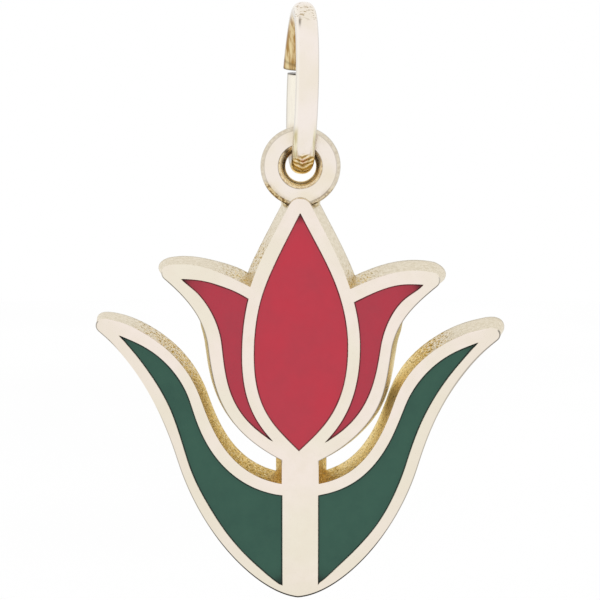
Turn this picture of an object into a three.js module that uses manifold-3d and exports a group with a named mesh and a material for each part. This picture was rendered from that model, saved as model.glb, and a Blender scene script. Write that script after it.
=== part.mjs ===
// A tulip charm: a cast plate with enamelled petals and leaves, an eyelet seated behind the tip
// of its centre petal, and the open oval jump ring that it hangs from.
// Millimetres, +Z up, +X to the right, front face towards -Y.
// The origin is the inside top of the jump ring, the point that the charm hangs by.

import * as THREE from 'three';
import { mergeVertices } from 'three/addons/utils/BufferGeometryUtils.js';
import Module from 'manifold-3d';

const wasm = await Module();
wasm.setup();

// Cast plate
const THICKNESS = 1.5;
const PETAL_RIM = 0.47; // metal left round the petals' enamel
const LEAF_RIM = 0.41; // metal left round the leaves' enamel
const LEAF_OUTER_RIM = 0.37;
const EDGE_ROUND = 0.05; // rounding where the front face turns into the wall
const TIP_ROUND = 0.26; // radius of the side petal and leaf tips on the front face
const LEAN = 0.017; // the right half is cast this much lower for each millimetre from the axis

// Degrees that the wall spreads towards the back
const PETAL_DRAFT = 12;
const SIDE_OUTER_DRAFT = 8.5;
const SIDE_UPPER_DRAFT = 10.5;
const LEAF_OUTER_DRAFT = 4;
const LEAF_INNER_DRAFT = 8.5;
const STEM_DRAFT = 11.5;
const DRAFT_DRIFT = 0.35; // more for each millimetre to the right
const SIDE_SWELL = 0.15; // how much further the wall spreads round a sharp tip, at the back
const LEAF_SWELL = 0.27;

// Centre petal, measured from the base of the bloom
const PETAL_HEIGHT = 11.1; // to the sharp tip, before it is rounded
const PETAL_TIP_ROUND = 0.42;
const PETAL_HALF_WIDTH = 2.31;
const PETAL_BELLY = 4.63; // height of the widest place

// Side petals
const SIDE_TIP_X = 5.66;
const SIDE_TIP_Z = 7.7;
const SIDE_WAIST_X = 3.57; // where the outer edge is steepest
const SIDE_WAIST_Z = 4.7;
const SIDE_CROWN_Z = 6.03; // where the two upper edges would meet behind the centre petal

// Leaves
const LEAF_TIP_X = 8.26;
const LEAF_TIP_Z = 5.82;
const LEAF_HIP_X = 4.66; // outer edge, at its steepest
const LEAF_HIP_Z = 0.1;
const LEAF_BEND_X = 3.93; // inner edge, at its steepest
const LEAF_BEND_Z = 2.86;
const LEAF_FORK = 0.75; // drop from the base of the bloom to where the leaves part
const LEAF_OFFSET = -0.1; // the pair is cast this far to the left of the stem's axis
const LEAF_POINT = 0.35; // the enamel's lower point is cut this much deeper than an even rim asks
const STEM_LENGTH = 5.09; // drop from the base of the bloom to the foot

// Stem
const STEM_WIDTH = 1.42; // bar between the leaves' enamel
const STEM_NECK = 1.38; // free stretch between the bloom and the leaves

// Enamel
const CELL_DEPTH = 0.5;
const ENAMEL_RECESS = 0.06; // how far the enamel lies below the polished face
const FIT = 0.02; // clearance where one piece sits in or against another

// Eyelet
const EYELET_RADIUS = 1.56;
const EYELET_THICKNESS = 1.0;
const EYELET_EDGE = 0.15; // rounding of its outer corners
const THROAT_RADIUS = 0.6; // narrowest part of the hole
const MOUTH_RADIUS = 0.87; // the hole at either face
const EYELET_OVERLAP = 0.29; // how far the tip of the centre petal's face reaches over its rim
const SOLDER_RADIUS = 0.24; // bead in the corner at either side of the eyelet's seat
const SOLDER_REACH = 0.08; // how far the bead's centre stands out from that corner

// Jump ring
const RING_HEIGHT = 6.68;
const RING_DEPTH = 4.95;
const WIRE_WIDTH = 0.89;
const WIRE_THICKNESS = 0.88;
const WIRE_FLATNESS = 3.2; // power of the outer half of the section; 2 is round, more is flatter
const CUT_HEIGHT = 0.68; // centre of the saw cut above the middle of the ring
const CUT_WIDTH = 0.18;
const CUT_OFFSET = 0.18; // the upper end stands this far to the left of the lower
const RING_TURN = 6.8; // degrees that the ring is turned, front to the right
const RING_TILT = 2; // degrees that its top leans to the right
const RING_SHIFT = 0.01; // sideways place of the wire in the eyelet
const HANG_GAP = 0.03; // clearance between the wire and the eyelet that hangs on it

// Fineness of curves
const CURVE_STEPS = 18;
const CORNER_STEPS = 8;
const ROUND_STEPS = 3;
const CIRCLE_STEPS = 64;
const WIRE_SIDES = 20;
const WIRE_STEPS = 72;

// Places that follow from the sizes
const faceY = -THICKNESS / 2;
const backY = THICKNESS / 2;
const seatRadius = EYELET_RADIUS + FIT;
const lipBackY = -EYELET_THICKNESS / 2 - FIT;
const throatTop = WIRE_THICKNESS * 2 - RING_HEIGHT + HANG_GAP;
const eyeletZ = throatTop - THROAT_RADIUS;

// Outlines are drawn in the plane of the front face, as points (x, z)

function at(x, z) {
  return new THREE.Vector2(x, z);
}

/** Unit vector at an angle in degrees from +X, counter-clockwise. */
function heading(degrees) {
  const angle = THREE.MathUtils.degToRad(degrees);
  return at(Math.cos(angle), Math.sin(angle));
}

/** Smooth curve that leaves and arrives at given headings; a pull is a share of the span. */
function sweep(from, to, leave, arrive, leavePull, arrivePull) {
  const span = from.distanceTo(to);
  const first = heading(leave).multiplyScalar(span * leavePull).add(from);
  const second = heading(arrive).multiplyScalar(-span * arrivePull).add(to);
  return new THREE.CubicBezierCurve(from, first, second, to);
}

/** Points along curves that follow each other. */
function trace(...curves) {
  const rest = curves.flatMap((curve) => curve.getPoints(CURVE_STEPS).slice(1));
  return [curves[0].getPoint(0), ...rest];
}

/** The same edge on the other side of the axis, run the other way. */
function mirror(edge) {
  return edge.map((point) => at(-point.x, point.y)).reverse();
}

/** An edge that starts at a tip and goes on to the axis, carried on to the opposite tip. */
function across(edge) {
  return [...edge, ...mirror(edge).slice(1)];
}

// An outline is a list of edges, run counter-clockwise. Each edge is smooth, and they meet at corners.

/** Moves an edge sideways, by a distance given for each point; a positive one is out of the shape. */
function shift(edge, distanceAt) {
  return edge.map((point, i) => {
    const before = edge[Math.max(i - 1, 0)];
    const after = edge[Math.min(i + 1, edge.length - 1)];
    const along = after.clone().sub(before).normalize();
    const distance = distanceAt(point);
    return at(point.x + along.y * distance, point.y - along.x * distance);
  });
}

/** Where segment a-b crosses segment c-d, or null. */
function meet(a, b, c, d) {
  const first = b.clone().sub(a);
  const second = d.clone().sub(c);
  const between = c.clone().sub(a);
  const area = first.cross(second);
  const t = between.cross(second) / area;
  const u = between.cross(first) / area;
  const inside = t >= 0 && t <= 1 && u >= 0 && u <= 1;
  return inside ? a.clone().addScaledVector(first, t) : null;
}

/** The crossing of the end of one edge with the start of the next. */
function crossing(before, after) {
  for (let i = before.length - 2; i >= 0; i -= 1) {
    for (let j = 0; j < after.length - 1; j += 1) {
      const point = meet(before[i], before[i + 1], after[j], after[j + 1]);
      if (point) return { i, j, point };
    }
  }
  throw new Error('two edges of an outline do not meet');
}

/** An outline drawn in by a distance for each edge, with its corners kept sharp. */
function inset(outline, distances) {
  const moved = outline.map((edge, k) => shift(edge, () => -distances[k]));
  const corners = moved.map((edge, k) => crossing(edge, moved[(k + 1) % moved.length]));
  return moved.map((edge, k) => {
    const start = corners[(k + moved.length - 1) % moved.length];
    const end = corners[k];
    return [start.point, ...edge.slice(start.j + 1, end.i + 1), end.point];
  });
}

/** The closed ring outside an outline, round at its corners, and drawn out by a swell at sharp ones. */
function grow(outline, spreads, swell) {
  const moved = outline.map((edge, k) => shift(edge, spreads[k]));
  return moved.flatMap((edge, k) => {
    const corner = outline[k].at(-1);
    const from = edge.at(-1).clone().sub(corner);
    const to = moved[(k + 1) % moved.length][0].clone().sub(corner);
    const turn = THREE.MathUtils.euclideanModulo(to.angle() - from.angle(), 2 * Math.PI);
    const bulge = swell * (turn / Math.PI) ** 2;
    const arc = [];
    for (let step = 1; step < CORNER_STEPS; step += 1) {
      const share = step / CORNER_STEPS;
      const angle = THREE.MathUtils.radToDeg(from.angle() + turn * share);
      const even = THREE.MathUtils.lerp(from.length(), to.length(), share);
      const radius = even + bulge * Math.sin(Math.PI * share) ** 2;
      arc.push(heading(angle).multiplyScalar(radius).add(corner));
    }
    return [...edge, ...arc];
  });
}

/** An outline drawn in so far that growing it back by the tip's radius rounds its tips. */
function core({ edges, tipRound }) {
  return inset(edges, edges.map(() => tipRound));
}

/** The ring of an outline with round tips, spread outwards by a distance. */
function rounded(form, spread) {
  return grow(core(form), form.edges.map(() => () => form.tipRound + spread), 0);
}

/** The ring that the wall has spread to at a depth behind the front face. */
function wallRing(form, depth, clearance) {
  const spreads = form.drafts.map((draft) => (point) => (
    form.tipRound + wallSpread(depth, draft + DRAFT_DRIFT * point.x) + clearance
  ));
  return grow(core(form), spreads, (form.swell * depth) / THICKNESS);
}

/** The closed ring of an outline drawn in to the edge of its enamel, and a clearance further. */
function cellRing({ edges, rims }, clearance) {
  return inset(edges, rims.map((rim) => rim + clearance)).flatMap((edge) => edge.slice(0, -1));
}

function centrePetalOutline() {
  const base = at(0, 0);
  const belly = at(PETAL_HALF_WIDTH, PETAL_BELLY);
  const tip = at(0, PETAL_HEIGHT);
  const right = trace(
    sweep(base, belly, 46, 90, 0.31, 0.53),
    sweep(belly, tip, 90, 115, 0.385, 0.385),
  );
  const edges = [right, mirror(right)];
  const rims = [PETAL_RIM, PETAL_RIM];
  return { edges, tipRound: PETAL_TIP_ROUND, rims, drafts: [PETAL_DRAFT, PETAL_DRAFT], swell: 0 };
}

function sidePetalsOutline() {
  const base = at(0, 0);
  const waist = at(SIDE_WAIST_X, SIDE_WAIST_Z);
  const tip = at(SIDE_TIP_X, SIDE_TIP_Z);
  const crown = at(0, SIDE_CROWN_Z);
  const outer = trace(
    sweep(base, waist, 22, 83, 0.55, 0.32),
    sweep(waist, tip, 83, 38, 0.32, 0.45),
  );
  const upper = trace(sweep(tip, crown, 158, 204, 0.36, 0.3));
  const edges = [outer, across(upper), mirror(outer)];
  const rims = [PETAL_RIM, PETAL_RIM, PETAL_RIM];
  const drafts = [SIDE_OUTER_DRAFT, SIDE_UPPER_DRAFT, SIDE_OUTER_DRAFT];
  return { edges, tipRound: TIP_ROUND, rims, drafts, swell: SIDE_SWELL };
}

/** The two leaves as one form, with a foot at a depth, left at a heading. */
function leavesOutline(footDepth, footHeading) {
  const foot = at(0, -footDepth);
  const hip = at(LEAF_HIP_X, LEAF_HIP_Z);
  const tip = at(LEAF_TIP_X, LEAF_TIP_Z);
  const bend = at(LEAF_BEND_X, LEAF_BEND_Z);
  const fork = at(0, -LEAF_FORK);
  const outer = trace(
    sweep(foot, hip, footHeading, 73, 0.28, 0.37),
    sweep(hip, tip, 73, 42, 0.24, 0.5),
  );
  const inner = trace(
    sweep(tip, bend, 176, 248, 0.17, 0.47),
    sweep(bend, fork, 248, 180, 0.21, 0.55),
  );
  const pair = [outer, across(inner), mirror(outer)];
  const edges = pair.map((edge) => edge.map((point) => at(point.x + LEAF_OFFSET, point.y)));
  const rims = [LEAF_OUTER_RIM, LEAF_RIM, LEAF_OUTER_RIM];
  const drafts = [LEAF_OUTER_DRAFT, LEAF_INNER_DRAFT, LEAF_OUTER_DRAFT];
  return { edges, tipRound: TIP_ROUND, rims, drafts, swell: LEAF_SWELL };
}

/** The stretch of stem that joins the bloom to the leaves; both of its ends lie inside them. */
function stemOutline() {
  const side = STEM_NECK / 2;
  const top = STEM_WIDTH;
  const bottom = -LEAF_FORK - STEM_WIDTH;
  const corners = [at(-side, bottom), at(side, bottom), at(side, top), at(-side, top)];
  const edges = corners.map((corner, i) => [corner, corners[(i + 1) % corners.length]]);
  return { edges, tipRound: TIP_ROUND, drafts: corners.map(() => STEM_DRAFT), swell: 0 };
}

// Solids

/** Closed geometry over rings of points with equal counts, with caps cut from a flat section. */
function skin(rings, section) {
  const count = section.length;
  const last = (rings.length - 1) * count;
  const index = [];
  for (let level = 0; level < last; level += count) {
    for (let i = 0; i < count; i += 1) {
      const a = level + i;
      const b = level + ((i + 1) % count);
      index.push(a, b + count, b, a, a + count, b + count);
    }
  }
  for (const [a, b, c] of THREE.ShapeUtils.triangulateShape(section, [])) {
    index.push(a, b, c, last + a, last + c, last + b);
  }
  const positions = rings.flat().flatMap((point) => point.toArray());
  const geometry = new THREE.BufferGeometry();
  geometry.setAttribute('position', new THREE.Float32BufferAttribute(positions, 3));
  geometry.setIndex(index);
  return geometry;
}

/** Sets a ring of points upright at a depth, with the plate's lean. */
function upright(ring, y) {
  return ring.map((point) => new THREE.Vector3(point.x, y, point.y - LEAN * point.x));
}

function prism(ring, frontY, rearY) {
  return solidOf(skin([upright(ring, frontY), upright(ring, rearY)], ring));
}

function solidOf(geometry) {
  const bare = geometry.clone();
  bare.deleteAttribute('normal');
  bare.deleteAttribute('uv');
  const merged = mergeVertices(bare);
  const vertProperties = Float32Array.from(merged.getAttribute('position').array);
  const triVerts = Uint32Array.from(merged.getIndex().array);
  return new wasm.Manifold(new wasm.Mesh({ numProp: 3, vertProperties, triVerts }));
}

function geometryOf(solid) {
  const mesh = solid.getMesh();
  const geometry = new THREE.BufferGeometry();
  geometry.setAttribute('position', new THREE.BufferAttribute(mesh.vertProperties, 3));
  geometry.setIndex(new THREE.BufferAttribute(mesh.triVerts, 1));
  const faceted = geometry.toNonIndexed();
  faceted.computeVertexNormals();
  return faceted;
}

/** How far the wall has spread at a depth behind the front face: a quarter round, then the draft. */
function wallSpread(depth, draft) {
  const slope = Math.tan(THREE.MathUtils.degToRad(draft));
  if (depth >= EDGE_ROUND) return EDGE_ROUND + (depth - EDGE_ROUND) * slope;
  return Math.sqrt(EDGE_ROUND ** 2 - (EDGE_ROUND - depth) ** 2);
}

/** One form of the plate: its outline as the front face, with the wall behind it. */
function plate(outline, clearance = 0) {
  const depths = [0];
  for (let step = 1; step <= ROUND_STEPS; step += 1) {
    depths.push(EDGE_ROUND * (1 - Math.cos((Math.PI / 2) * (step / ROUND_STEPS))));
  }
  depths.push(THICKNESS);
  const rings = depths.map((depth) => wallRing(outline, depth, clearance));
  return solidOf(skin(rings.map((ring, i) => upright(ring, faceY + depths[i])), rings[0]));
}

/** Cylinder along Y about the centre of the eyelet, in the plate's own frame. */
function eyeletCylinder(radius, frontY, rearY) {
  const cylinder = new THREE.CylinderGeometry(radius, radius, rearY - frontY, CIRCLE_STEPS);
  cylinder.translate(0, (frontY + rearY) / 2, eyeletHeight);
  return solidOf(cylinder);
}

/** Box that holds everything on one side of the axis; side is -1 for the left and 1 for the right. */
function half(side) {
  const reach = 2 * (LEAF_TIP_X + PETAL_HEIGHT + STEM_LENGTH);
  return solidOf(new THREE.BoxGeometry(reach, reach, reach).translate((side * reach) / 2, 0, 0));
}

const centrePetal = centrePetalOutline();
const sidePetals = sidePetalsOutline();
const leaves = leavesOutline(STEM_LENGTH, 6);
const leafEnamel = leavesOutline(STEM_LENGTH + LEAF_POINT, 24);
const stem = stemOutline();

// Heights above the base of the bloom, and the place of that base
const petalTop = Math.max(...rounded(centrePetal, 0).map((point) => point.y));
const eyeletHeight = petalTop - EYELET_OVERLAP + EYELET_RADIUS;
const bloomZ = eyeletZ - eyeletHeight;

/** What lies between two depths inside each cell; clearance draws it in from the cell's walls. */
function cells(frontY, rearY, clearance) {
  const stemBar = new THREE.BoxGeometry(STEM_WIDTH + 2 * clearance, 2 * THICKNESS, 2 * PETAL_HEIGHT);
  const petalRing = rounded(centrePetal, clearance);
  return {
    centre: prism(cellRing(centrePetal, clearance), frontY, rearY),
    sides: prism(cellRing(sidePetals, clearance), frontY, rearY)
      .subtract(prism(petalRing, frontY - THICKNESS, rearY + THICKNESS)),
    leaves: prism(cellRing(leafEnamel, clearance), frontY, rearY).subtract(solidOf(stemBar)),
  };
}

function tulipBody() {
  const hollow = cells(faceY - THICKNESS, faceY + CELL_DEPTH, 0);
  const seat = eyeletCylinder(seatRadius, lipBackY, backY + THICKNESS);
  return plate(leaves)
    .add(plate(stem))
    .add(plate(sidePetals))
    .add(plate(centrePetal))
    .subtract(hollow.centre)
    .subtract(hollow.sides)
    .subtract(hollow.leaves)
    .subtract(seat);
}

/** Turned ring with flat faces, a rounded rim and a hole that narrows to a round throat. */
function eyeletGeometry() {
  const halfThickness = EYELET_THICKNESS / 2;
  const profile = [];
  for (const end of [-1, 1]) {
    for (let step = 0; step <= ROUND_STEPS; step += 1) {
      const angle = (end * Math.PI) / 4 + (Math.PI / 4) * ((2 * step) / ROUND_STEPS - 1);
      const centre = at(EYELET_RADIUS - EYELET_EDGE, end * (halfThickness - EYELET_EDGE));
      profile.push(at(Math.cos(angle), Math.sin(angle)).multiplyScalar(EYELET_EDGE).add(centre));
    }
  }
  const throatSteps = 4 * ROUND_STEPS;
  for (let step = 0; step <= throatSteps; step += 1) {
    const angle = (Math.PI * step) / throatSteps;
    const narrowing = (MOUTH_RADIUS - THROAT_RADIUS) * Math.sin(angle);
    profile.push(at(MOUTH_RADIUS - narrowing, halfThickness * Math.cos(angle)));
  }
  profile.push(profile[0].clone());
  return new THREE.LatheGeometry(profile, CIRCLE_STEPS);
}

/** Bead of solder in the corner between the eyelet's rim and the wall of the centre petal. */
function solderFillet(side) {
  const centre = at(0, eyeletHeight);
  const spread = wallSpread(THICKNESS / 2, PETAL_DRAFT);
  const wall = rounded(centrePetal, spread).filter((point) => point.y > PETAL_BELLY);
  const offSeat = (point) => Math.abs(point.distanceTo(centre) - seatRadius);
  const corner = wall.reduce((best, point) => (offSeat(point) < offSeat(best) ? point : best));
  const bead = new THREE.SphereGeometry(SOLDER_RADIUS, CIRCLE_STEPS / 2, CIRCLE_STEPS / 4);
  bead.scale(1, EYELET_THICKNESS / 2 / SOLDER_RADIUS - FIT, 1);
  bead.translate(side * (Math.abs(corner.x) + SOLDER_REACH), 0, corner.y);
  return solidOf(bead)
    .subtract(plate(centrePetal, FIT))
    .subtract(eyeletCylinder(seatRadius, faceY, backY));
}

/** Outline of the jump ring's wire across its width, flat outside and round inside. */
function wireSection() {
  const section = [];
  for (let side = 0; side < WIRE_SIDES; side += 1) {
    const angle = (2 * Math.PI * side) / WIRE_SIDES;
    const outside = Math.sin(angle) > 0;
    const share = 2 / (outside ? WIRE_FLATNESS : 2);
    const across = Math.sign(Math.cos(angle)) * Math.abs(Math.cos(angle)) ** share;
    const outwards = Math.sign(Math.sin(angle)) * Math.abs(Math.sin(angle)) ** share;
    section.push(at((across * WIRE_WIDTH) / 2, (outwards * WIRE_THICKNESS) / 2));
  }
  return section;
}

/** Centre line of the wire in the plane (y, z), from the lower end of the cut round to the upper. */
function ringPath() {
  const depth = (RING_DEPTH - WIRE_THICKNESS) / 2;
  const height = (RING_HEIGHT - WIRE_THICKNESS) / 2;
  const lowerEnd = Math.asin((CUT_HEIGHT - CUT_WIDTH / 2) / height);
  const upperEnd = Math.asin((CUT_HEIGHT + CUT_WIDTH / 2) / height);
  return new THREE.Path().absellipse(0, 0, depth, height, lowerEnd, upperEnd, true);
}

function jumpRingGeometry() {
  const path = ringPath();
  const section = wireSection();
  const rings = [];
  for (let step = 0; step <= WIRE_STEPS; step += 1) {
    const share = step / WIRE_STEPS;
    const centre = path.getPointAt(share);
    const along = path.getTangentAt(share);
    const aside = -CUT_OFFSET * share ** 4;
    rings.push(section.map((point) => new THREE.Vector3(
      aside + point.x,
      centre.x - along.y * point.y,
      centre.y + along.x * point.y,
    )));
  }
  return skin(rings, section);
}

// Materials

function gold(color, roughness) {
  return new THREE.MeshStandardMaterial({ color, metalness: 1, roughness });
}

function enamel(color) {
  return new THREE.MeshStandardMaterial({ color, metalness: 0, roughness: 0.25 });
}

const PLATE_GOLD = 0xe6d9bd;
const RING_GOLD = 0xeadfc8;
const SOLDER_GOLD = 0xd8c491;
const PETAL_RED = 0xb8434f;
const LEAF_GREEN = 0x3c6454;

// Assembly

const tulipCharm = new THREE.Group();

const ringFoot = new THREE.Group();
ringFoot.position.set(RING_SHIFT, 0, WIRE_THICKNESS - RING_HEIGHT);
ringFoot.rotation.y = THREE.MathUtils.degToRad(RING_TILT);
tulipCharm.add(ringFoot);

const jumpRing = new THREE.Mesh(jumpRingGeometry(), gold(RING_GOLD, 0.2));
jumpRing.name = 'jump_ring';
jumpRing.rotation.z = THREE.MathUtils.degToRad(RING_TURN);
jumpRing.position.z = RING_HEIGHT / 2;
ringFoot.add(jumpRing);

const charm = new THREE.Group();
charm.position.z = bloomZ;
tulipCharm.add(charm);

function addToCharm(name, geometry, material) {
  const mesh = new THREE.Mesh(geometry, material);
  mesh.name = name;
  charm.add(mesh);
  return mesh;
}

addToCharm('tulip_body', geometryOf(tulipBody()), gold(PLATE_GOLD, 0.3));

const eyelet = addToCharm('eyelet_ring', eyeletGeometry(), gold(RING_GOLD, 0.2));
eyelet.position.z = eyeletHeight;

addToCharm('solder_left', geometryOf(solderFillet(-1)), gold(SOLDER_GOLD, 0.4));
addToCharm('solder_right', geometryOf(solderFillet(1)), gold(SOLDER_GOLD, 0.4));

const fill = cells(faceY + ENAMEL_RECESS, faceY + CELL_DEPTH - FIT, FIT);
addToCharm('enamel_centre_petal', geometryOf(fill.centre), enamel(PETAL_RED));
for (const [name, side] of [['left', -1], ['right', 1]]) {
  addToCharm(`enamel_${name}_petal`, geometryOf(fill.sides.intersect(half(side))), enamel(PETAL_RED));
  addToCharm(`enamel_${name}_leaf`, geometryOf(fill.leaves.intersect(half(side))), enamel(LEAF_GREEN));
}

export default tulipCharm;
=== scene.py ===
import math

import bmesh
import bpy
import numpy as np
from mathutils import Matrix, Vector, noise
from mathutils.geometry import delaunay_2d_cdt


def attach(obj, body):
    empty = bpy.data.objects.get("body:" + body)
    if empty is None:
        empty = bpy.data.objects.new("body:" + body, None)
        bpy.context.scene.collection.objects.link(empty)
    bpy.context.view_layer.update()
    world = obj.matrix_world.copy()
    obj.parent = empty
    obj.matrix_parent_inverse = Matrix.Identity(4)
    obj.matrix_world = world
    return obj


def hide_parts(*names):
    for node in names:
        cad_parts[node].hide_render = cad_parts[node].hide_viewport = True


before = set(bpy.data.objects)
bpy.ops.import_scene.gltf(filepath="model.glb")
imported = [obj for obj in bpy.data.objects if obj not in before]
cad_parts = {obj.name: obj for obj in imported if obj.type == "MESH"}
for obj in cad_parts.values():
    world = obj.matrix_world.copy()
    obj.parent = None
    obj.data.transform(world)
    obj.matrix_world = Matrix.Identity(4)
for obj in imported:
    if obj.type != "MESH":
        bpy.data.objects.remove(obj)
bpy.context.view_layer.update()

norm = np.linalg.norm

# The sizes below are the part's own, in millimetres and degrees, +Z up, front face towards -Y.
MM = 0.001

# Plate
THICKNESS = 1.5
FACE_Y = -THICKNESS / 2
BACK_Y = THICKNESS / 2
EDGE_ROUND = 0.05
BACK_ROUND = 0.07
TIP_ROUND = 0.26
PETAL_TIP_ROUND = 0.42
LEAN = 0.017
CAST_SINK = 0.01
CAST_GRAIN = 0.012

# Drafts of the walls, and how far sharp corners swell out at the back
PETAL_DRAFT = 12
SIDE_OUTER_DRAFT = 9.5
SIDE_TIP_DRAFT = 3
SIDE_TIP_BAND = (5.4, 6.3)
SIDE_UPPER_DRAFT = 10.5
LEAF_OUTER_DRAFT = 4
LEAF_INNER_DRAFT = 8.5
STEM_DRAFT = 11.5
DRAFT_DRIFT = 0.35
SIDE_SWELL = 0.15
LEAF_SWELL = 0.25

# Petals, leaves and stem
PETAL_BELLY = (2.31, 4.63)
LEAF_OFFSET = -0.1
LEAF_POINT = 0.35
LEAF_POINT_HEADING = 24
LEAF_FORK = 0.75
FOOT_HEADING = 6
STEM_LENGTH = 5.1
STEM_WIDTH = 1.42
STEM_NECK = 1.38

# Cells and enamel
PETAL_RIM = 0.47
LEAF_RIM = 0.41
LEAF_OUTER_RIM = 0.37
CELL_DEPTH = 0.5
CELL_MOUTH = 0.012
FIT = 0.02
ENAMEL_GAP = 0.01
ENAMEL_RECESS = 0.055
MENISCUS = 0.034
MENISCUS_WIDTH = 0.06
ENAMEL_RIPPLE = 0.006

# Eyelet and solder
EYELET_RADIUS = 1.56
EYELET_THICKNESS = 1.0
EYELET_BEVEL = 0.15
THROAT_RADIUS = 0.6
MOUTH_RADIUS = 0.87
EYELET_OVERLAP = 0.29
SOLDER_RADIUS = 0.19
SOLDER_REACH = 0.04
SOLDER_LUMP = 0.09

# Jump ring
RING_HEIGHT = 6.68
RING_DEPTH = 4.95
WIRE_WIDTH = 0.89
WIRE_THICKNESS = 0.88
WIRE_FLATNESS = 2.3
WIRE_DRAW = 0.99
CUT_HEIGHT = 0.68
CUT_WIDTH = 0.18
CUT_OFFSET = 0.18
CUT_EASE = 0.009
CUT_DRAWS = (0.945, 0.975)
RING_TURN = 6.8
RING_TILT = 2
RING_SHIFT = 0.01
RING_SWAY = 0.055
HANG_GAP = 0.03

# Fineness of the curves and of the enamel's points
CURVE_STEPS = 44
CORNER_STEPS = 14
EDGE_STEPS = 5
WALL_STEPS = 10
BACK_STEPS = 3
STEM_STEPS = 25
BAR_STEPS = 400
DISC_STEPS = 160
EYELET_STEPS = 192
BEVEL_STEPS = 8
THROAT_STEPS = 28
OVAL_STEPS = 4000
WIRE_STEPS = 300
WIRE_SIDES = 56
ENAMEL_GRID = 0.085
ENAMEL_COLLARS = (0.02, 0.045, 0.085)
GRID_MARGIN = 0.12


# Outlines, drawn as arrays of points (x, z) on the front face

def at(x, z):
    return np.array([x, z], float)


def heading(degrees):
    angle = math.radians(degrees)
    return at(math.cos(angle), math.sin(angle))


def sweep(start, end, leave, arrive, leave_pull, arrive_pull):
    """Smooth curve that leaves and arrives at given headings; a pull is a share of the span."""
    span = norm(end - start)
    first = start + heading(leave) * span * leave_pull
    second = end - heading(arrive) * span * arrive_pull
    t = np.linspace(0, 1, CURVE_STEPS + 1)[:, None]
    return (start * (1 - t) ** 3 + first * 3 * t * (1 - t) ** 2
            + second * 3 * t ** 2 * (1 - t) + end * t ** 3)


def trace(*curves):
    return np.vstack([curves[0]] + [curve[1:] for curve in curves[1:]])


def mirror(edge):
    return (edge * [-1, 1])[::-1]


def across(edge):
    return np.vstack([edge, mirror(edge)[1:]])


def cross2(a, b):
    return a[..., 0] * b[..., 1] - a[..., 1] * b[..., 0]


def shift(edge, distance):
    """Moves an edge sideways; a positive distance moves it out of the shape."""
    along = np.vstack([edge[1:2] - edge[:1], edge[2:] - edge[:-2], edge[-1:] - edge[-2:-1]])
    along /= norm(along, axis=1, keepdims=True)
    return edge + np.stack([along[:, 1], -along[:, 0]], 1) * np.reshape(distance, (-1, 1))


def smoothstep(x, low, high):
    t = np.clip((np.asarray(x, float) - low) / (high - low), 0, 1)
    return t * t * (3 - 2 * t)


def crossings(a, b):
    """All crossings of polyline a with polyline b: their segments' numbers and the points."""
    first, second = a[1:] - a[:-1], b[1:] - b[:-1]
    between = b[None, :-1] - a[:-1, None]
    area = cross2(first[:, None], second[None])
    area = np.where(np.abs(area) < 1e-14, 1e-14, area)
    t = cross2(between, second[None]) / area
    u = cross2(between, first[:, None]) / area
    hits = np.argwhere((t >= 0) & (t <= 1) & (u >= 0) & (u <= 1))
    return [(i, j, a[i] + first[i] * t[i, j]) for i, j in hits]


def inset(outline, distances):
    """An outline drawn in by a distance for each edge, with its corners kept sharp."""
    moved = [shift(edge, -distance) for edge, distance in zip(outline, distances)]
    corners = []
    for k, edge in enumerate(moved):
        found = crossings(edge, moved[(k + 1) % len(moved)])
        corners.append(max(found, key=lambda hit: (hit[0], -hit[1])))
    result = []
    for k, edge in enumerate(moved):
        start, end = corners[k - 1], corners[k]
        result.append(np.vstack([start[2][None], edge[start[1] + 1:end[0] + 1], end[2][None]]))
    return result


def grow(outline, spreads, swell=0.0):
    """The closed ring outside an outline: round at its corners, swollen out at the sharp ones."""
    moved = [shift(edge, spread) for edge, spread in zip(outline, spreads)]
    ring = []
    for k, edge in enumerate(moved):
        corner = outline[k][-1]
        out, back = edge[-1] - corner, moved[(k + 1) % len(moved)][0] - corner
        start = math.atan2(out[1], out[0])
        turn = (math.atan2(back[1], back[0]) - start) % (2 * math.pi)
        share = np.arange(1, CORNER_STEPS) / CORNER_STEPS
        angle = start + turn * share
        radius = norm(out) * (1 - share) + norm(back) * share
        radius = radius + swell * (turn / math.pi) ** 2 * np.sin(math.pi * share) ** 2
        ring += [edge, corner + radius[:, None] * np.stack([np.cos(angle), np.sin(angle)], 1)]
    return np.vstack(ring)


def rounded(form, spread):
    return grow(form["inner"], [form["tip"] + spread] * len(form["inner"]))


def wall_ring(form, depth, less=0.0):
    """The ring that the wall has spread to at a depth behind the front face."""
    spreads = []
    for edge, draft in zip(form["inner"], form["drafts"]):
        if draft == SIDE_OUTER_DRAFT:
            draft = draft + (SIDE_TIP_DRAFT - draft) * smoothstep(edge[:, 1], *SIDE_TIP_BAND)
        else:
            draft = draft + DRAFT_DRIFT * edge[:, 0]
        spreads.append(form["tip"] + wall_spread(depth, draft) - less)
    return grow(form["inner"], spreads, form["swell"] * depth / THICKNESS)


def form_of(edges, tip, rims, drafts, swell=0.0):
    inner = inset(edges, [tip] * len(edges))
    return {"edges": edges, "inner": inner, "tip": tip,
            "rims": rims, "drafts": drafts, "swell": swell}


def centre_petal_form():
    base, belly, tip = at(0, 0), at(*PETAL_BELLY), at(0, 11.1)
    right = trace(sweep(base, belly, 46, 90, 0.31, 0.53), sweep(belly, tip, 90, 115, 0.385, 0.385))
    return form_of([right, mirror(right)], PETAL_TIP_ROUND, [PETAL_RIM] * 2, [PETAL_DRAFT] * 2)


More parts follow.
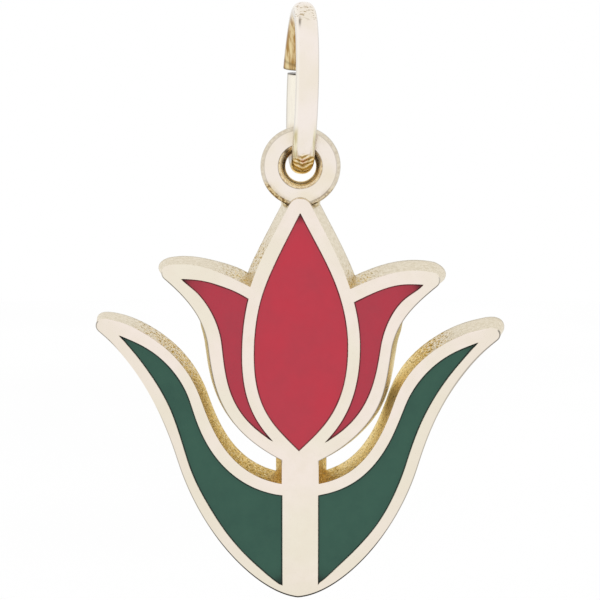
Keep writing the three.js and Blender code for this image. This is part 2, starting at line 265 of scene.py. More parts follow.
def side_petals_form():
    base, waist, tip, crown = at(0, 0), at(3.57, 4.7), at(5.66, 7.7), at(0, 6.03)
    outer = trace(sweep(base, waist, 22, 83, 0.55, 0.32), sweep(waist, tip, 83, 38, 0.32, 0.45))
    upper = sweep(tip, crown, 158, 204, 0.36, 0.3)
    edges = [outer, across(upper), mirror(outer)]
    drafts = [SIDE_OUTER_DRAFT, SIDE_UPPER_DRAFT, SIDE_OUTER_DRAFT]
    return form_of(edges, TIP_ROUND, [PETAL_RIM] * 3, drafts, SIDE_SWELL)


def leaves_form(foot_depth, foot_heading):
    foot, hip, tip = at(0, -foot_depth), at(4.66, 0.1), at(8.26, 5.82)
    bend, fork = at(3.93, 2.86), at(0, -LEAF_FORK)
    outer = trace(sweep(foot, hip, foot_heading, 73, 0.28, 0.37), sweep(hip, tip, 73, 42, 0.24, 0.5))
    inner = trace(sweep(tip, bend, 176, 248, 0.17, 0.47), sweep(bend, fork, 248, 180, 0.21, 0.55))
    edges = [edge + [LEAF_OFFSET, 0] for edge in (outer, across(inner), mirror(outer))]
    rims = [LEAF_OUTER_RIM, LEAF_RIM, LEAF_OUTER_RIM]
    drafts = [LEAF_OUTER_DRAFT, LEAF_INNER_DRAFT, LEAF_OUTER_DRAFT]
    return form_of(edges, TIP_ROUND, rims, drafts, LEAF_SWELL)


def stem_form():
    side = STEM_NECK / 2
    bottom = -LEAF_FORK - STEM_WIDTH
    corners = [at(-side, bottom), at(side, bottom), at(side, STEM_WIDTH), at(-side, STEM_WIDTH)]
    edges = [np.linspace(c, corners[(i + 1) % 4], STEM_STEPS) for i, c in enumerate(corners)]
    return form_of(edges, TIP_ROUND, [0] * 4, [STEM_DRAFT] * 4)


CENTRE = centre_petal_form()
SIDES = side_petals_form()
LEAVES = leaves_form(STEM_LENGTH, FOOT_HEADING)
LEAF_ENAMEL = leaves_form(STEM_LENGTH + LEAF_POINT, LEAF_POINT_HEADING)
STEM = stem_form()

PETAL_TOP = rounded(CENTRE, 0)[:, 1].max()
EYELET_HEIGHT = PETAL_TOP - EYELET_OVERLAP + EYELET_RADIUS
EYELET_Z = WIRE_THICKNESS * 2 - RING_HEIGHT + HANG_GAP - THROAT_RADIUS
BLOOM_Z = EYELET_Z - EYELET_HEIGHT


# The enamel's cells, as closed rings

def cell_ring(form):
    return np.vstack([edge[:-1] for edge in inset(form["edges"], form["rims"])])


def clean_ring(ring, least=1e-4):
    """A ring without points that nearly coincide."""
    keep = norm(ring - np.roll(ring, 1, 0), axis=1) > least
    return ring[keep]


def trimmed(ring, cutter, side):
    """The part of a ring that lies outside a closed cutter, on one side of the axis."""
    closed = np.vstack([ring, ring[:1]])
    hits = [hit for hit in crossings(closed, cutter) if hit[2][0] * side > 0]
    hits.sort(key=lambda hit: hit[2][1])
    start, end = (hits[0], hits[-1]) if side > 0 else (hits[-1], hits[0])
    count = len(ring)
    run = [(start[0] + 1 + k) % count for k in range((end[0] - start[0]) % count)]
    outside = np.vstack([start[2][None], ring[run], end[2][None]])
    loop = cutter[:-1]
    size = len(loop)
    back = [(end[1] - k) % size for k in range((end[1] - start[1]) % size)]
    return clean_ring(np.vstack([outside, loop[back]]))


def petal_loop():
    ring = rounded(CENTRE, 0)
    return np.vstack([ring, ring[:1]])


def stem_loop():
    """The stem as a bar that runs past the plate at both ends."""
    half, far = STEM_WIDTH / 2, 12.0
    corners = [at(-half, -far), at(half, -far), at(half, far), at(-half, far), at(-half, -far)]
    sides = [np.linspace(a, b, BAR_STEPS)[:-1] for a, b in zip(corners, corners[1:])]
    return np.vstack(sides + [corners[:1]])


def turned_ccw(ring):
    area = cross2(ring, np.roll(ring, -1, 0)).sum()
    return ring if area > 0 else ring[::-1]


def cell_rings():
    """Every cell's closed ring, counter-clockwise."""
    side_ring, leaf_ring = cell_ring(SIDES), cell_ring(LEAF_ENAMEL)
    petal, bar = petal_loop(), stem_loop()
    rings = {"centre_petal": clean_ring(cell_ring(CENTRE))}
    for name, side in (("left", -1), ("right", 1)):
        rings[f"{name}_petal"] = trimmed(side_ring, petal, side)
        rings[f"{name}_leaf"] = trimmed(leaf_ring, bar, side)
    return {name: turned_ccw(ring) for name, ring in rings.items()}


def nudged(ring, nudges, strength=1.0):
    """Moves the points round a few places a little, as handwork does."""
    ring = np.array(ring, float)
    moved = ring.copy()
    for place, move, reach in nudges:
        share = np.exp(-((ring - place) ** 2).sum(1) / reach ** 2)
        moved += share[:, None] * np.array(move) * strength
    return moved


# Every nudge is a place (x, z), a move and a reach.
# How the cells were cut: drifting a little left below and right above, with uneven corners
LOW_DRIFT = -0.05
DRIFT_RISE = 0.09
DRIFT_FALL = 0.04
CELL_NUDGES = [
    ((-2.2, 7.1), (0.0, 0.08), 0.8),
    ((-4.4, 7.4), (0.02, -0.03), 0.8),
    ((4.7, 7.2), (0.1, -0.07), 0.7),
    ((6.7, 4.9), (-0.03, -0.07), 1.0),
    ((-6.9, 5.2), (0.06, -0.11), 1.2),
    ((-5.2, 2.4), (0.07, 0.0), 1.3),
    ((-3.3, -1.5), (0.04, 0.0), 1.2),
    ((2.9, -1.9), (0.03, -0.04), 1.3),
    ((0.7, -4.4), (0.0, -0.11), 0.7),
    ((-0.75, -4.4), (0.0, -0.05), 0.6),
    ((-4.55, 7.4), (-0.09, -0.035), 0.6),
    ((4.75, 7.3), (0.06, -0.045), 0.7),
    ((7.0, 5.1), (-0.07, -0.045), 0.7),
]


def hand_cut(ring):
    """A cell as cut by hand; only its side along the stem doesn't drift."""
    x, z = ring[:, 0], ring[:, 1]
    rise = DRIFT_RISE * smoothstep(z, 1.5, 5.5)
    fall = DRIFT_FALL * smoothstep(z, 7.0, 10.3)
    beside_stem = (np.abs(x) < STEM_WIDTH / 2 + 0.01) & (z < 0.2)
    drift = np.where(beside_stem, 0.0, LOW_DRIFT + rise - fall)
    return nudged(ring + np.stack([drift, np.zeros_like(drift)], 1), CELL_NUDGES)


CELLS = {name: hand_cut(ring) for name, ring in cell_rings().items()}


def spread_ring(ring, distance):
    """A closed counter-clockwise ring moved outwards along its corners' bisectors."""
    before, after = ring - np.roll(ring, 1, 0), np.roll(ring, -1, 0) - ring
    before /= norm(before, axis=1, keepdims=True)
    after /= norm(after, axis=1, keepdims=True)
    out_before = np.stack([before[:, 1], -before[:, 0]], 1)
    out_after = np.stack([after[:, 1], -after[:, 0]], 1)
    bisector = out_before + out_after
    least_square = 0.5  # keeps a sharp corner from shooting far out
    share = 2 / np.maximum((bisector ** 2).sum(1, keepdims=True), least_square)
    return ring + bisector * share * distance


# Solids

def upright(ring, y):
    """Sets a ring of points upright at a depth, with the plate's lean, in the part's place."""
    x, z = np.asarray(ring).T
    return np.stack([x, np.broadcast_to(y, len(x)), z - LEAN * x + BLOOM_Z], 1)


def mesh_object(name, vertices, faces):
    mesh = bpy.data.meshes.new(name)
    mesh.from_pydata((np.asarray(vertices) * MM).tolist(), [], faces)
    mesh.validate()
    mesh.update()
    obj = bpy.data.objects.new(name, mesh)
    bpy.context.scene.collection.objects.link(obj)
    return obj


def ring_faces(levels, count):
    """Four-sided faces between closed rings with equal counts."""
    faces = []
    for level in range(levels - 1):
        for i in range(count):
            a, b = level * count + i, level * count + (i + 1) % count
            faces.append((a, b, b + count, a + count))
    return faces


def loft(name, rings):
    """Closed solid over rings with equal counts."""
    count = len(rings[0])
    last = (len(rings) - 1) * count
    faces = ring_faces(len(rings), count)
    faces.append(tuple(range(count))[::-1])
    faces.append(tuple(range(last, last + count)))
    obj = mesh_object(name, np.vstack(rings), faces)
    outward(obj)
    return obj


def outward(obj):
    work = bmesh.new()
    work.from_mesh(obj.data)
    bmesh.ops.recalc_face_normals(work, faces=work.faces)
    work.to_mesh(obj.data)
    work.free()


def combine(target, other, operation):
    """Joins or cuts two closed solids, and removes the second."""
    tool = target.modifiers.new("boolean", "BOOLEAN")
    tool.operation = operation
    tool.solver = "MANIFOLD"
    tool.object = other
    apply_modifiers(target)
    old = other.data
    bpy.data.objects.remove(other)
    bpy.data.meshes.remove(old)


def apply_modifiers(obj):
    graph = bpy.context.evaluated_depsgraph_get()
    fresh = bpy.data.meshes.new_from_object(obj.evaluated_get(graph), preserve_all_data_layers=True,
                                            depsgraph=graph)
    old = obj.data
    name = old.name
    obj.modifiers.clear()
    obj.data = fresh
    bpy.data.meshes.remove(old)
    fresh.name = name


def wobble(points, size, seed):
    """Smooth values about -1 to 1 that change over a size in millimetres."""
    offset = Vector((seed * 17.3, seed * -9.1, seed * 5.7))
    return np.array([noise.noise(Vector(p) / size + offset) for p in points])


def wall_spread(depth, draft):
    """How far the wall has spread at a depth: a quarter round, then the draft."""
    if depth < EDGE_ROUND:
        return math.sqrt(EDGE_ROUND ** 2 - (EDGE_ROUND - depth) ** 2)
    return EDGE_ROUND + (depth - EDGE_ROUND) * np.tan(np.radians(draft))


def plate(name, form, seed):
    """One form of the plate: a polished face, a rounded edge, a cast wall and a softened back."""
    quarter = math.pi / 2
    depths = [EDGE_ROUND * (1 - math.cos(quarter * k / EDGE_STEPS)) for k in range(EDGE_STEPS + 1)]
    depths += list(np.linspace(EDGE_ROUND, THICKNESS - BACK_ROUND, WALL_STEPS)[1:])
    rings = []
    for depth in depths:
        ring = cast_ring(form, depth)
        if depth > EDGE_ROUND:
            points = upright(ring, FACE_Y + depth)
            rough = 0.6 * wobble(points, 0.9, seed) + 0.4 * wobble(points, 0.3, seed + 1)
            ring = spread_ring(ring, (CAST_GRAIN * rough - CAST_SINK)[:, None])
        rings.append(upright(ring, FACE_Y + depth))
    for step in range(1, BACK_STEPS + 1):
        angle = quarter * step / BACK_STEPS
        ring = cast_ring(form, THICKNESS, BACK_ROUND * (1 - math.cos(angle)) + CAST_GRAIN)
        rings.append(upright(ring, BACK_Y - BACK_ROUND * (1 - math.sin(angle))))
    return loft(name, rings)


# How the plate was filed by hand: its outline, its turned edge, and the wall's front and back
FACE_NUDGES = [
    ((3.6, 4.2), (-0.05, 0.0), 1.6),
    ((2.2, 1.6), (-0.03, 0.03), 1.2),
    ((-8.1, 5.9), (-0.02, -0.02), 0.8),
    ((-5.4, 1.9), (-0.03, 0.0), 1.6),
    ((5.2, 7.4), (0.02, -0.085), 1.9),
    ((7.5, 5.9), (0.02, -0.08), 1.0),
]
EDGE_NUDGES = [
    ((-0.1, -5.2), (0.0, 0.03), 2.6),
    ((6.6, 3.9), (-0.02, 0.015), 1.8),
]
FRONT_NUDGES = [
    ((-0.1, -5.1), (0.0, -0.085), 1.7),
    ((-8.0, 5.75), (-0.08, -0.02), 0.8),
    ((8.0, 5.6), (0.07, 0.0), 0.8),
]
FRONT_REACH = 1.2
WALL_NUDGES = [
    ((-2.4, 7.5), (0.0, 0.09), 0.9),
    ((-8.1, 6.0), (-0.01, -0.06), 0.8),
    ((-6.2, 7.7), (-0.09, 0.0), 0.9),
    ((6.2, 7.6), (0.09, 0.0), 0.9),
]


def cast_ring(form, depth, less=0.0):
    """The wall's ring at a depth, with the handwork in it."""
    ring = nudged(wall_ring(form, depth, less), FACE_NUDGES)
    ring = nudged(ring, EDGE_NUDGES, max(0.0, 1 - depth / EDGE_ROUND))
    ring = nudged(ring, FRONT_NUDGES, max(0.0, 1 - depth / FRONT_REACH))
    return nudged(ring, WALL_NUDGES, depth / THICKNESS)


def cell_cutter(name):
    """A cell's hollow with a softened mouth."""
    ring = CELLS[name]
    rings = []
    for depth, wider in ((-0.3, CELL_MOUTH), (0.0, CELL_MOUTH), (0.015, 0.0), (CELL_DEPTH, 0.0)):
        rings.append(upright(spread_ring(ring, wider), FACE_Y + depth))
    return loft("cutter", rings)


def disc(radius, front_y, rear_y):
    """Round solid about the eyelet's axis."""
    angles = np.linspace(0, 2 * math.pi, DISC_STEPS, endpoint=False)
    x, z = radius * np.cos(angles), radius * np.sin(angles) + EYELET_Z
    return loft("disc", [np.stack([x, np.full(DISC_STEPS, y), z], 1) for y in (front_y, rear_y)])


# Attributes that the materials read

def paint(obj, name, values):
    layer = obj.data.attributes.get(name) or obj.data.attributes.new(name, "FLOAT", "POINT")
    layer.data.foreach_set("value", np.asarray(values, np.float32))


def coordinates(obj):
    flat = np.empty(len(obj.data.vertices) * 3, np.float32)
    obj.data.vertices.foreach_get("co", flat)
    return flat.reshape(-1, 3).astype(float) / MM


def distance_to(points, start, end):
    """Distance of each point from the nearest of some line segments."""
    along = end - start
    square = np.maximum((along ** 2).sum(1), 1e-12)
    best = np.full(len(points), 1e9)
    for chunk in range(0, len(points), 400):
        p = points[chunk:chunk + 400, None]
        t = np.clip(((p - start) * along).sum(2) / square, 0, 1)
        best[chunk:chunk + 400] = norm(p - start - along * t[..., None], axis=2).min(1)
    return best


def distance_to_ring(points, ring):
    return distance_to(points, ring, np.roll(ring, -1, 0))


def distance_to_edges(points, *edges):
    starts, ends = [edge[:-1] for edge in edges], [edge[1:] for edge in edges]
    return distance_to(points, np.vstack(starts), np.vstack(ends))


def spot(x, z, centre_x, centre_z, size):
    """A soft round mark, 1 at its centre."""
    return np.exp(-((x - centre_x) ** 2 + (z - centre_z) ** 2) / size)


def ridge(value, centre, width):
    """A soft line along one value, 1 at its middle."""
    return np.exp(-((value - centre) / width) ** 2)


# How deep the gold of the inner walls is, by x, and how dark the painted shade on the turned edge
# is, by z
GOLD_BY_X = (
    [-6.8, -5.9, -4.9, -4.2, -3.7, 4.2, 4.7, 5.3, 6.2],
    [0, 0.35, 0.5, 0.75, 1, 1, 0.9, 0.5, 0],
)
LEFT_LEAF_LINE = (
    [-4.6, -3.2, -2.2, 1.6, 2.4, 4.4, 4.9, 6.2],
    [1.0, 1.0, 0.6, 0.35, 0.0, 0.0, 0.6, 0.6],
)
RIGHT_LEAF_LINE = (
    [-4.6, -3.2, -2.2, 2.2, 2.9, 4.6, 5.2, 5.8, 6.1],
    [1.0, 1.0, 0.6, 0.4, 0.4, 0.5, 0.7, 0.7, 0.3],
)
PETAL_LINE = (
    [0.2, 0.8, 3.0, 5.5, 6.4, 7.2, 7.7],
    [0.3, 0.45, 0.5, 0.45, 0.6, 0.8, 0.2],
)


def paint_casting(obj):
    """Where the wall is deep gold or olive, where the rim is beige, where painted shade darkens its
    edges and painted bounce light lightens it.
    """
    co = coordinates(obj)
    x, depth = co[:, 0], co[:, 1] - FACE_Y
    z = co[:, 2] - BLOOM_Z + LEAN * x
    place = np.stack([x, z], 1)
    leaf_in = distance_to_edges(place, LEAVES["edges"][1])
    leaf_out = distance_to_edges(place, LEAVES["edges"][0], LEAVES["edges"][2])
    side_out = distance_to_edges(place, SIDES["edges"][0], SIDES["edges"][2])
    side_top = distance_to_edges(place, SIDES["edges"][1])
    bloom = np.minimum(side_top, distance_to_edges(place, *CENTRE["edges"]))
    aside = np.abs(x)

    # Deep gold between the leaves and a little where the petals meet; olive down the side petals
    stem = (aside < 1.1) & (z < 0.35) & (z > -1.4)
    inner_wall = (leaf_in < np.minimum(leaf_out, side_out)) | stem
    gold = np.where(inner_wall, np.interp(x, *GOLD_BY_X), 0.0)
    gold = np.maximum(gold, 0.45 * spot(aside, z, 2.3, 7.1, 0.8))
    upper_left = (x < 0) & (x > -2.2) & (bloom < 0.9)
    gold = np.maximum(gold, 0.3 * ridge(z, 8.2, 0.9) * upper_left)
    olive_wall = ~inner_wall & (side_out < 0.6) & (side_out < bloom)
    paint(obj, "gold", gold)
    paint(obj, "olive", np.where(olive_wall, 1 - smoothstep(z, 5.6, 6.6), 0.0))

    # Painted shade: a dark line on the turned edge where it faces down and out, a fainter one on the
    # back's edge
    outer = (leaf_out < 0.22) & (leaf_out < leaf_in)
    leaf_line = np.where(x < 0, np.interp(z, *LEFT_LEAF_LINE), np.interp(z, *RIGHT_LEAF_LINE))
    petal_side = (side_out < 0.2) & (side_out < bloom) & ~outer
    line = np.where(outer, leaf_line, 0.0)
    line = np.where(petal_side, np.interp(z, *PETAL_LINE), line)
    front = smoothstep(depth, 0.0, 0.002) * (1 - smoothstep(depth, 0.06, 0.15))
    back = smoothstep(depth, THICKNESS - 0.12, THICKNESS - 0.04)
    paint(obj, "line", line * front + 0.4 * back)
    paint(obj, "beige", (1 - smoothstep(leaf_out, 0.3, 0.55)) * (depth < 0.1))

    # Painted light: lighter colour where walls face each other closely, and in inner corners, for
    # light bounced between them
    apart = np.where(inner_wall, side_out, leaf_in)
    painted_bounce_light = (1 - smoothstep(apart, 0.45, 1.4)) * np.where(x > 0, 1.0, 0.5) * (aside > 1.5)
    corner = 0.6 * spot(aside, z, 0.8, -0.7, 0.3) + 0.8 * spot(aside, z, 2.3, 7.0, 0.5)
    paint(obj, "painted_bounce_light", np.maximum(painted_bounce_light, corner))


def finish_mesh(obj, angle=32):
    """Smooth shading with creases kept and large flats held flat."""
    mesh = obj.data
    mesh.polygons.foreach_set("use_smooth", [True] * len(mesh.polygons))
    mesh.set_sharp_from_angle(angle=math.radians(angle))
    weighted = obj.modifiers.new("weighted", "WEIGHTED_NORMAL")
    weighted.mode = "FACE_AREA"
    weighted.weight = 60
    weighted.keep_sharp = True
    apply_modifiers(obj)


# Nodes

def srgb(code):
    channels = [int(code[i:i + 2], 16) / 255 for i in (0, 2, 4)]
    return [c / 12.92 if c <= 0.04045 else ((c + 0.055) / 1.055) ** 2.4 for c in channels] + [1.0]


class Nodes:
    """Short ways to write a material's nodes."""

    # A Mix node's sockets for colours
    FACTOR, FIRST, SECOND, RESULT = 0, 6, 7, 2

    def __init__(self, name):
        self.material = bpy.data.materials.new(name)
        self.material.use_nodes = True
        self.tree = self.material.node_tree
        self.shader = self.tree.nodes["Principled BSDF"]

    def add(self, kind, **settings):
        node = self.tree.nodes.new(kind)
        for key, value in settings.items():
            setattr(node, key, value)
        return node

    def link(self, output, socket):
        self.tree.links.new(output, socket)

    def put(self, node, socket, value):
        if isinstance(value, bpy.types.NodeSocket):
            self.link(value, node.inputs[socket])
        else:
            node.inputs[socket].default_value = value

    def place(self, stretch=(1, 1, 1)):
        """Object coordinates in millimetres, times a stretch."""
        coordinate = self.add("ShaderNodeTexCoord")
        mapping = self.add("ShaderNodeMapping")
        mapping.inputs["Scale"].default_value = [s / MM for s in stretch]
        self.link(coordinate.outputs["Object"], mapping.inputs["Vector"])
        return mapping.outputs["Vector"]

    def noise(self, per_mm, detail=2.0, roughness=0.5, stretch=(1, 1, 1)):
        node = self.add("ShaderNodeTexNoise")
        self.link(self.place(stretch), node.inputs["Vector"])
        node.inputs["Scale"].default_value = per_mm
        node.inputs["Detail"].default_value = detail
        node.inputs["Roughness"].default_value = roughness
        return node.outputs["Fac"]

    def mark(self, name):
        """The values painted on the mesh under a name."""
        return self.add("ShaderNodeAttribute", attribute_name=name).outputs["Fac"]

    def times(self, a, b):
        return self.math("MULTIPLY", a, b)

    def math(self, operation, a, b=0.0, clamp=False):
        node = self.add("ShaderNodeMath", operation=operation, use_clamp=clamp)
        self.put(node, 0, a)
        self.put(node, 1, b)
        return node.outputs["Value"]

    def ramp(self, factor, low, high, to_low=0.0, to_high=1.0):
        """Maps a factor's range low..high smoothly to another range."""
        node = self.add("ShaderNodeMapRange", interpolation_type="SMOOTHSTEP")
        self.put(node, "Value", factor)
        node.inputs["From Min"].default_value = low
        node.inputs["From Max"].default_value = high
        node.inputs["To Min"].default_value = to_low
        node.inputs["To Max"].default_value = to_high
        return node.outputs["Result"]

    def mix(self, factor, a, b):
        node = self.add("ShaderNodeMix", data_type="RGBA")
        self.put(node, self.FACTOR, factor)
        self.put(node, self.FIRST, a)
        self.put(node, self.SECOND, b)
        return node.outputs[self.RESULT]

    def bump(self, height, strength, distance_mm, normal=None):
        node = self.add("ShaderNodeBump")
        node.inputs["Strength"].default_value = strength
        node.inputs["Distance"].default_value = distance_mm * MM
        self.link(height, node.inputs["Height"])
        if normal is not None:
            self.link(normal, node.inputs["Normal"])
        return node.outputs["Normal"]

    def set(self, **inputs):
        for key, value in inputs.items():
            self.put(self.shader, key.replace("_", " "), value)


def face_gold():
    """Polished face: pale, nearly even, with faint drift in tone."""
    m = Nodes("polished_gold_face")
    drift = m.ramp(m.noise(0.35, 1.5), 0.35, 0.65)
    fine = m.ramp(m.noise(2.2, 3.0), 0.3, 0.75)
    colour = m.mix(drift, srgb("F3E7DD"), srgb("EEE6D5"))
    colour = m.mix(m.times(fine, 0.35), colour, srgb("E9DECC"))
    colour = m.mix(m.times(m.mark("beige"), 0.45), colour, srgb("E8DFCC"))
    # Painted shade: dark along the turned edge where it faces down and out, and at the back's edge
    colour = m.mix(m.mark("line"), colour, srgb("2E2A20"))
    m.set(Base_Color=colour, Metallic=1.0, Roughness=m.ramp(m.noise(5.0, 2.0), 0.3, 0.7, 0.16, 0.24))
    m.set(Normal=m.bump(m.noise(1.6, 2.0), 0.25, 0.012))
    return m.material


def wall_gold():
    """Cast wall: grained, champagne above, olive down the petals, deep gold between the leaves."""
    m = Nodes("cast_gold_wall")
    share, olive = m.mark("gold"), m.mark("olive")
    # The deep gold starts as single grains that close up to an even colour
    above = m.math("SUBTRACT", m.math("ADD", share, m.ramp(m.noise(12.0, 2.0), 0.35, 0.65)), 1.0)
    gold = m.math("ADD", m.times(above, 3.0), share, clamp=True)
    grain = m.noise(8.0, 4.0, 0.7)
    fleck = m.ramp(m.noise(13.0, 1.0), 0.56, 0.64)
    speck = m.ramp(m.noise(12.0, 1.0), 0.59, 0.67)
    pale = m.mix(m.ramp(grain, 0.35, 0.65), srgb("D8CCB2"), srgb("EAE0CC"))
    band = m.mix(m.ramp(grain, 0.4, 0.6), srgb("AD9A68"), srgb("D3C498"))
    # Painted light: paler where walls face each other closely and in inner corners
    band = m.mix(m.mark("painted_bounce_light"), band, srgb("FFF6DC"))
    rich = m.mix(m.ramp(grain, 0.43, 0.57), srgb("A07A34"), srgb("E8C983"))
    rich = m.mix(m.mark("painted_bounce_light"), rich, srgb("FFEDC0"))
    rich = m.mix(m.times(fleck, 0.95), rich, srgb("FFF6DC"))
    rich = m.mix(m.times(speck, 0.8), rich, srgb("5E4620"))
    colour = m.mix(gold, pale, rich)
    colour = m.mix(olive, colour, band)
    # Painted shade: dark along the turned edge where it faces down and out, and at the back's edge
    colour = m.mix(m.mark("line"), colour, srgb("3A3324"))
    glance = m.mix(gold, srgb("FFFFFF"), srgb("FFECB4"))
    glance = m.mix(olive, glance, srgb("F4E6C0"))
    m.set(Base_Color=colour, Metallic=1.0, Roughness=0.42, Specular_Tint=glance)
    coarse = m.bump(m.noise(3.0, 2.0), 0.35, 0.03)
    m.set(Normal=m.bump(grain, 0.6, 0.02, coarse))
    return m.material


def back_gold():
    """Back of the plate: brushed smooth after casting."""
    m = Nodes("brushed_gold_back")
    streak = m.noise(9.0, 3.0, 0.6, stretch=(1, 1, 0.08))
    tone = m.mix(m.ramp(m.noise(0.5, 2.0), 0.35, 0.7), srgb("EADDC2"), srgb("E1D0AC"))
    colour = m.mix(m.ramp(streak, 0.35, 0.7, 0.0, 0.5), tone, srgb("F0E6D2"))
    m.set(Base_Color=colour, Metallic=1.0, Roughness=m.ramp(streak, 0.3, 0.7, 0.26, 0.36))
    m.set(Normal=m.bump(streak, 0.25, 0.008))
    return m.material


def enamel(name, body, deep, edge, bright, tip_reach, line_width):
    """Hard glossy enamel: a faint mottle, with painted shade along the metal's edge and into its
    points.
    """
    m = Nodes(name)
    rim, tip = m.mark("rim"), m.mark("tip")
    mottle = m.ramp(m.noise(0.55, 3.0, 0.6), 0.3, 0.7)
    cloud = m.ramp(m.noise(2.4, 4.0, 0.6), 0.3, 0.75)
    colour = m.mix(m.times(mottle, 0.8), srgb(body), srgb(deep))
    colour = m.mix(m.times(cloud, 0.3), colour, srgb(bright))
    # Painted shade: darker towards the metal, a dark line along it, and dark into the points
    shade = m.ramp(rim, 0.0, 0.32, 0.35, 0.0)
    colour = m.mix(shade, colour, srgb(deep))
    waver = m.times(m.math("SUBTRACT", m.noise(1.1, 2.0), 0.5), 0.04)
    line = m.ramp(m.math("ADD", rim, waver), 0.012, line_width, 0.85, 0.0)
    colour = m.mix(line, colour, srgb(edge))
    colour = m.mix(m.ramp(tip, 0.04, 0.5, 0.8, 0.0), colour, srgb(edge))
    colour = m.mix(m.ramp(tip, 0.1, tip_reach, 0.22, 0.0), colour, srgb(edge))
    m.set(Base_Color=colour, Metallic=0.0, IOR=1.5, Specular_IOR_Level=0.2)
    m.set(Roughness=m.ramp(m.noise(3.0, 2.0), 0.3, 0.7, 0.14, 0.22))
    m.set(Normal=m.bump(m.noise(1.2, 2.0), 0.2, 0.012))
    return m.material


def wire_gold():
    """Drawn wire: polished outside, streaked inside, rippled at its lower bend, with painted golden
    reflections there and inside.
    """
    m = Nodes("drawn_gold_wire")
    place = m.add("ShaderNodeSeparateXYZ")
    m.link(m.place(), place.inputs["Vector"])
    streak = m.noise(7.0, 3.0, 0.6, stretch=(1, 0.3, 0.12))
    drift = m.ramp(m.noise(0.6, 2.0), 0.35, 0.65)
    colour = m.mix(drift, srgb("F4EAE2"), srgb("EFE5D6"))
    # Painted highlight: near white along the back of the wire and down one flank
    colour = m.mix(m.mark("bright"), colour, srgb("FBF7EC"))
    olive = m.mix(m.ramp(streak, 0.35, 0.65), srgb("C6B88A"), srgb("EBE2C4"))
    colour = m.mix(m.mark("band"), colour, olive)
    scratch = m.ramp(m.noise(9.0, 2.0, 0.5, stretch=(0.5, 1, 1.6)), 0.55, 0.66)
    colour = m.mix(m.times(scratch, m.mark("worn")), colour, srgb("A98F60"))
    # Painted reflection: golden on the ring's inside, where the wire faces its far side
    rich = m.mix(m.ramp(streak, 0.35, 0.66), srgb("A98245"), srgb("E6D2A2"))
    colour = m.mix(m.mark("inside"), colour, rich)

    # The ripples run in shallow V's across the lower bend; their gold, dark and pale bands are
    # painted reflection
    side = m.math("ABSOLUTE", m.math("SUBTRACT", place.outputs["X"], 0.1))
    height = m.math("ADD", place.outputs["Z"], m.times(side, -0.45))
    height = m.math("ADD", height, m.times(m.noise(3.0, 2.0), 0.16))
    wave = m.math("SINE", m.times(height, 39.0))
    ripple = m.mix(m.ramp(wave, -0.9, 0.5), srgb("A5854A"), srgb("EBD29A"))
    ripple = m.mix(m.ramp(wave, 0.5, 1.0), ripple, srgb("FFF8E2"))
    colour = m.mix(m.mark("bend"), colour, ripple)
    # Painted shade at the sawn ends, along the edges, under the lower bend and in a short line near
    # the top in front
    colour = m.mix(m.mark("dark"), colour, srgb("4A3A20"))
    m.set(Base_Color=colour, Metallic=1.0, Roughness=m.ramp(streak, 0.3, 0.7, 0.14, 0.24))
    m.set(Specular_Tint=m.mix(m.mark("bend"), srgb("FFFFFF"), srgb("FFE8B0")))
    m.set(Normal=m.bump(streak, 0.3, 0.012))
    return m.material


def eyelet_gold():
    """Turned ring: polished faces, a beige rim and a grained golden throat."""
    m = Nodes("turned_gold_eyelet")
    rim, throat, worn = m.mark("rim"), m.mark("throat"), m.mark("worn")
    grain = m.noise(9.0, 3.0, 0.6)
    pale = m.mix(m.ramp(m.noise(0.8, 2.0), 0.35, 0.65), srgb("F2E8DE"), srgb("EEE3D0"))
    beige = m.mix(m.ramp(grain, 0.3, 0.7), srgb("CFC3AF"), srgb("E3D9C6"))
    rich = m.mix(m.ramp(grain, 0.43, 0.57), srgb("B89458"), srgb("F0D8A6"))
    # Painted light: paler deeper in the throat
    rich = m.mix(m.mark("depth"), rich, srgb("FFF4DC"))
    rough = m.mix(m.ramp(grain, 0.42, 0.58), srgb("8A6E42"), srgb("DCC596"))
    colour = m.mix(throat, m.mix(rim, pale, beige), rich)
    colour = m.mix(worn, colour, rough)
    # Painted shade round the mouth, in the throat and at the outer edge
    colour = m.mix(m.mark("dark"), colour, srgb("4A3A20"))
    m.set(Base_Color=colour, Metallic=1.0, Roughness=m.ramp(throat, 0.0, 1.0, 0.2, 0.36))
    m.set(Specular_Tint=m.mix(throat, srgb("FFFFFF"), srgb("FFE9B8")))
    m.set(Normal=m.bump(grain, 0.25, 0.01))
    return m.material


def solder_gold():
    """Solder: paler than the wall and slightly granular."""
    m = Nodes("solder_gold")
    grain = m.noise(8.0, 3.0, 0.6)
    colour = m.mix(m.ramp(grain, 0.35, 0.65), srgb("CDBB93"), srgb("EDE2C8"))
    m.set(Base_Color=colour, Metallic=1.0, Roughness=0.4)
    m.set(Normal=m.bump(grain, 0.4, 0.012))
    return m.material


# Pieces

FACE, WALL, BACK = range(3)


def assign_by_normal(obj, *materials):
    """The polished face runs over the first part of the rounded edge; the back is brushed."""
    mesh = obj.data
    mesh.materials.clear()
    for material in materials:
        mesh.materials.append(material)
    for polygon in mesh.polygons:
        facing_back = polygon.normal.y
        depth = polygon.center.y / MM - FACE_Y
        if facing_back < -0.45 or depth < 0.02:
            polygon.material_index = FACE
        elif facing_back > 0.7 and depth > THICKNESS - 0.1:
            polygon.material_index = BACK
        else:
            polygon.material_index = WALL


